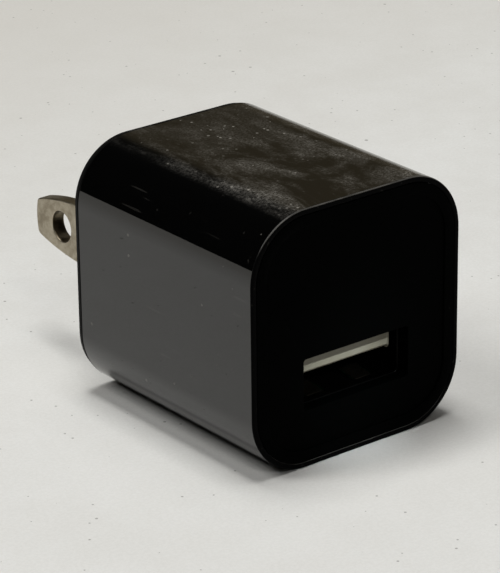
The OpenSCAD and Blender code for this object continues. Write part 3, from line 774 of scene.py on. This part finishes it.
def usb_shell():
    """A can folded from sheet and closed at the back, with windows for the grip fingers and side legs."""
    front = SHELL[0].y
    rear = SHELL[1].y
    edge = SHEET / 2
    corner_r = 0.6
    profile = (
        [(0, rear)]
        + arc((edge, front + edge), edge, 180, 360, 6)
        + [(SHEET, rear - SHEET)]
    )
    shape = Shape()
    rings = []
    for inset, y in profile:
        outline = rounded_rect(SHELL_W - 2 * inset, SHELL_H - 2 * inset, corner_r - inset, 6)
        rings.append(shape.loop([(x, y, z + SHELL_Z) for x, z in outline]))
    shape.bridge(rings)
    shape.fill(rings[0])
    shape.fill(rings[-1])
    piece = shape.build("socket_shell")

    windows = Shape()
    finger = box("lower_grip_fingers")
    window_w = FINGER_W + 0.6
    window_end = finger[1].y + 0.4
    below = SHELL_Z - SHELL_H
    above = SHELL_Z + SHELL_H
    for side in (-1, 1):
        middle = side * FINGER_X
        windows.block((middle - window_w / 2, finger[0].y - FIT, below),
                      (middle + window_w / 2, window_end, above))
    tails_w = 9.6
    tails_l = 1.6
    tails_top = SHELL_Z - 0.6
    windows.block((-tails_w / 2, rear - tails_l, below), (tails_w / 2, rear + 1, tails_top))
    cut(piece, windows)

    legs = Shape()
    leg_w = 1.6
    leg_top = SHELL_Z - 1.5
    leg_ys = (front + 5, rear - 2.5)
    for side in (-1, 1):
        for y in leg_ys:
            across = sorted((side * SHELL_W / 2, side * (SHELL_W / 2 - SHEET)))
            legs.block((across[0], y - leg_w / 2, SHELL[0].z), (across[1], y + leg_w / 2, leg_top))
    cut(piece, legs, "UNION")
    return piece


def usb_insulator():
    """The white tongue on its rear block, with a groove for each contact and a channel for each tail."""
    front = INSULATOR[0].y
    rear = INSULATOR[1].y
    block_front = rear - BLOCK_L
    top = TONGUE_BOTTOM + TONGUE_T
    chamfer = 0.25
    root_y = block_front + 1
    nose = [(root_y, TONGUE_BOTTOM), (root_y, top), (front + chamfer, top), (front, top - chamfer),
            (front, TONGUE_BOTTOM + chamfer), (front + chamfer, TONGUE_BOTTOM)]
    nose = softened(list(reversed(nose)), [1, 2, 3, 4], 0.09, 3)
    side_r = 0.2
    shape = Shape()
    plate(shape, nose, [], -TONGUE_W / 2, TONGUE_W / 2, side_r, lambda y, z, x: (x, y, z))
    piece = shape.build("socket_tongue")

    root = Shape()
    block_r = 0.25
    block_edge_r = 0.12
    outline = rounded_rect(INSULATOR[1].x - INSULATOR[0].x, INSULATOR[1].z - INSULATOR[0].z, block_r, 5)
    plate(root, outline, [], block_front, rear, block_edge_r, lambda x, z, y: (x, y, z + SHELL_Z))
    cut(piece, root, "UNION")

    grooves = Shape()
    tails = box("usb_contact_tails")
    groove_start = front + 0.6
    for x in CONTACT_XS.values():
        grooves.block((x - GROOVE_W / 2, groove_start, TONGUE_BOTTOM - 0.5),
                      (x + GROOVE_W / 2, tails[0].y - FIT, TONGUE_BOTTOM + GROOVE_DEPTH))
    cut(piece, grooves)
    channels = Shape()
    channel_w = 0.7 + 2 * FIT
    for x in CONTACT_XS.values():
        channels.block((x - channel_w / 2, tails[0].y - 2 * FIT, TONGUE_BOTTOM - 3),
                       (x + channel_w / 2, rear + 1, tails[1].z + FIT))
    cut(piece, channels)
    return piece


def ribbon(shape, path, width, thickness, bead_r, x):
    """A springy strip along a path in Y and Z, thickened to a round bead at its start."""
    lengths = [0.0]
    for a, b in zip(path, path[1:]):
        lengths.append(lengths[-1] + (b - a).length)
    ahead = (path[1] - path[0]).normalized()
    bead_turns = range(10, 91, 16)
    corner_share = 0.7
    bead = [-math.cos(math.radians(a)) * bead_r for a in bead_turns]
    stations = [(path[0] + ahead * s, s) for s in bead] + list(zip(path[1:], lengths[1:]))
    rings = []
    for i, (point, s) in enumerate(stations):
        before = stations[max(i - 1, 0)][0]
        after = stations[min(i + 1, len(stations) - 1)][0]
        along = (after - before).normalized()
        across = Vector((-along.y, along.x))
        half = thickness / 2
        if abs(s) < bead_r:
            half = math.sqrt(bead_r ** 2 - s * s)
            half = half if s < 0 else max(half, thickness / 2)
        section = rounded_rect(width, 2 * half, min(half, thickness / 2) * corner_share, 3)
        places = [(x + u, point.x + across.x * v, point.y + across.y * v) for u, v in section]
        rings.append(shape.loop(places))
    shape.bridge(rings)
    shape.fill(rings[0])
    shape.fill(rings[-1])


def contact(name, x):
    """One contact spring: its leaf bulges below the tongue and turns up at its tip."""
    pivot_y = box(name)[1].y - CONTACT_BEAD_R
    pivot_z = TONGUE_BOTTOM + 0.45
    bends = [(0, 0), (2.4, -0.15), (5.2, -0.72), (6, -0.8), (6.8, -0.72), (8.7, -0.2)]
    path = smooth_path([(pivot_y - forward, pivot_z + rise) for forward, rise in bends])
    shape = Shape()
    ribbon(shape, path, CONTACT_W, CONTACT_T, CONTACT_BEAD_R, x)
    return shape.build(name.replace("contact", "spring"))


def grip_fingers(side, node):
    """Two fingers cut from the shell's floor or roof, bent into the plug's way."""
    low, high = box(node)
    root = low.y + FINGER_BEAD_R
    length = high.y - root
    wall = (SHELL_H - SHEET) / 2
    # Each bend's share of the length, and its rise off the sheet
    bends = [(0, 0), (0.28, 0.27), (0.55, 0.53), (0.75, 0.55), (1, 0.45)]
    path = smooth_path([(root + share * length, SHELL_Z + side * (wall - rise)) for share, rise in bends])
    shape = Shape()
    for x in (-FINGER_X, FINGER_X):
        ribbon(shape, path, FINGER_W, FINGER_T, FINGER_BEAD_R, x)
    return shape.build(node.replace("grip_fingers", "fingers"))


add(sleeve(), "charger", "casing_gloss", "sleeve")
add(front_cap(), "charger", "casing_matte", "front_cap")
add(rear_cap(), "charger", "casing_rear", "rear_cap")
for side, label in ((-1, "left"), (1, "right")):
    add(blade(side, f"{label}_plug_blade"), "charger", "blade_plating", f"{label}_blade")
add(usb_shell(), "charger", "shell_steel", "usb_shell")
add(usb_insulator(), "charger", "socket_white", "usb_insulator")
for name, x in CONTACT_XS.items():
    add(contact(name, x), name, "contact_gold", name)
for side, node in ((-1, "lower_grip_fingers"), (1, "upper_grip_fingers")):
    add(grip_fingers(side, node), node, "finger_steel", node)


# ---- Floor, light and camera ----

def floor():
    """A pale, faintly mottled table top with small dark specks, and painted shade that makes it darker and
    warmer behind the charger.
    """
    half = 1500
    shape = Shape()
    corners = [(-half, -half), (half, -half), (half, half), (-half, half)]
    shape.faces.append(tuple(shape.loop([(x, y, FLOOR_Z) for x, y in corners])))
    piece = shape.build("table_top")
    s = Surface("table_top", IOR=1.45, Specular_IOR_Level=0.25)
    mottle = s.band(s.noise(9, detail=8, roughness=0.7), 0.3, 0.7)
    wide = s.noise(120, detail=2)
    specks = s.most(s.specks(1.4, 0.15, 0.55), s.specks(3.1, 0.24, 0.5))
    pale = s.mix(mottle, (0.645, 0.64, 0.61), (0.69, 0.69, 0.665))
    pale = s.mix(s.band(wide, 0.35, 0.65, 0.0, 0.5), pale, (0.67, 0.66, 0.63))
    # Painted shade: the floor's colour darkens and warms from the charger's back to 130 mm behind it
    far = 130
    painted_shade_away = s.band(s.part(s.place, "Y"), 0.0, far * MM, 0.0, 0.75)
    pale = s.mix(painted_shade_away, pale, (0.55, 0.53, 0.485))
    grit = s.band(s.noise(0.35, detail=3, roughness=0.8), 0.35, 0.65, 0.0, 0.16)
    pale = s.mix(grit, pale, (0.45, 0.44, 0.4))
    s.colour(s.mix(s.times(specks, 0.7), pale, (0.2, 0.19, 0.17)))
    s.roughness(0.6)
    s.bump(s.noise(0.8, detail=5, roughness=0.7), 0.03, 0.4)
    piece.data.materials.append(s.material)


def aimed(name, data, place, aim):
    """Puts a light into the scene at a place in metres, facing a point."""
    lamp = bpy.data.objects.new(name, data)
    lamp.location = place
    lamp.rotation_euler = (Vector(aim) - Vector(place)).to_track_quat("-Z", "Y").to_euler()
    bpy.context.collection.objects.link(lamp)


def softbox(name, place, size, power, colour=(1.0, 1.0, 1.0)):
    """A rectangular light that faces the charger, with its size in metres and its power in watts."""
    data = bpy.data.lights.new(name, "AREA")
    data.shape = "RECTANGLE"
    data.size = size[0]
    data.size_y = size[1]
    data.energy = power
    data.color = colour
    aimed(name, data, place, (0, FRONT_Y / 2 * MM, 0))


def snoot(name, place, width, power, colour):
    """A narrow beam into the socket with a crisp edge, its width in degrees and its power in watts."""
    data = bpy.data.lights.new(name, "SPOT")
    data.spot_size = math.radians(width)
    data.spot_blend = 0.3
    data.shadow_soft_size = 0.004
    data.energy = power
    data.color = colour
    aimed(name, data, place, (0, FRONT_Y * MM, SHELL_Z * MM))


def lights():
    """Large soft lights above and to the left, a low warm wall behind, and a dark room."""
    softbox("overhead", (0.0, 0.15, 3.0), size=(0.9, 1.6), power=56)
    softbox("overhead_wide", (0.35, 0.15, 3.1), size=(1.4, 1.8), power=18)
    softbox("left_window", (-2.1, 0.8, 3.0), size=(0.8, 1.7), power=53)
    softbox("front_window", (-0.9, -2.3, 2.3), size=(0.4, 0.4), power=10)
    softbox("back_wall", (1.6, 1.9, 0.72), size=(2.6, 1.5), power=1.15, colour=(1.0, 0.81, 0.48))
    snoot("socket_snoot", (0.0, -0.63, 0.515), width=1.0, power=36, colour=(0.88, 0.95, 1.0))
    world = bpy.data.worlds.new("dark_room")
    world.use_nodes = True
    world.node_tree.nodes["Background"].inputs["Color"].default_value = (0.004, 0.004, 0.0035, 1)
    bpy.context.scene.world = world
    bpy.context.scene.view_settings.view_transform = "Standard"


def camera():
    """A long lens above and to the left of the USB face, rolled a little and aimed left of its middle."""
    azimuth, elevation, roll = (math.radians(a) for a in (-38.06, 22.61, -0.70))
    distance, shift_right, shift_up = 292.2, -10.08, 3.42
    back = Vector((math.sin(azimuth) * math.cos(elevation), -math.cos(azimuth) * math.cos(elevation),
                   math.sin(elevation)))
    level = Vector((math.cos(azimuth), math.sin(azimuth), 0))
    right = level * math.cos(roll) + back.cross(level) * math.sin(roll)
    up = back.cross(right)
    place = Vector((0, FRONT_Y, 0)) + back * distance + right * shift_right + up * shift_up
    data = bpy.data.cameras.new("camera")
    data.sensor_width = 36
    data.lens = 196.4
    data.clip_start = 0.01
    data.clip_end = 20
    view = bpy.data.objects.new("camera", data)
    view.matrix_world = Matrix.Translation(place * MM) @ Matrix((right, up, back)).transposed().to_4x4()
    bpy.context.collection.objects.link(view)
    bpy.context.scene.camera = view


floor()
lights()
camera()

bpy.context.view_layer.update()
